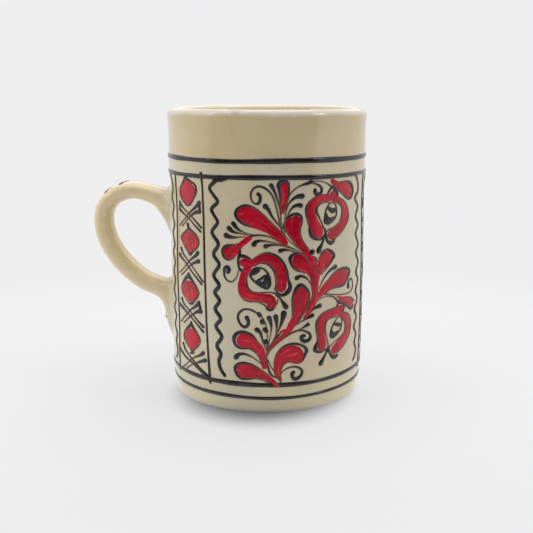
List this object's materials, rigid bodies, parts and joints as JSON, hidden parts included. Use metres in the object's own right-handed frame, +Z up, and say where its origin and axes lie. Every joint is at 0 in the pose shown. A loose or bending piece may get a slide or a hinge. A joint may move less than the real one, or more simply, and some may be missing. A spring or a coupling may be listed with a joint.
{
  "type": "mug",
  "caption": "Tall straight-sided stoneware drinking mug with a pulled strap handle and slip-trailed folk ornament in dark brown and red on cream glaze.",
  "frame": {"origin": "centre of the flat base, on the mug's turning axis", "axes": "+Z up along the turning axis; the handle lies in the XZ plane on the -X side; -Y is the side beside which the floral field lies when the handle is at the left"},
  "size_m": [0.1174, 0.084, 0.12],
  "materials": {
    "cream_glaze": "clear gloss glaze over cream slip",
    "dark_slip": "trailed iron and cobalt slip under gloss glaze, brown where thin",
    "red_slip": "brushed red underglaze under gloss glaze",
    "bare_clay": "unglazed fired clay, matt"
  },
  "bodies": {
    "root": {"mug_body": "cream_glaze", "handle": "cream_glaze", "luting_slip_upper": "bare_clay", "luting_slip_lower": "bare_clay", "slip_ring_neck_upper": "dark_slip", "slip_ring_neck_lower": "dark_slip", "slip_ring_foot_upper": "dark_slip", "slip_ring_foot_lower": "dark_slip", "slip_border_front_left": "dark_slip", "slip_wave_front_left": "dark_slip", "slip_border_front_right": "dark_slip", "slip_wave_front_right": "dark_slip", "slip_border_far_left": "dark_slip", "slip_wave_far_left": "dark_slip", "slip_border_far_right": "dark_slip", "slip_wave_far_right": "dark_slip", "slip_border_back_left": "dark_slip", "slip_wave_back_left": "dark_slip", "slip_border_back_right": "dark_slip", "slip_wave_back_right": "dark_slip"}
  },
  "joints": []
}
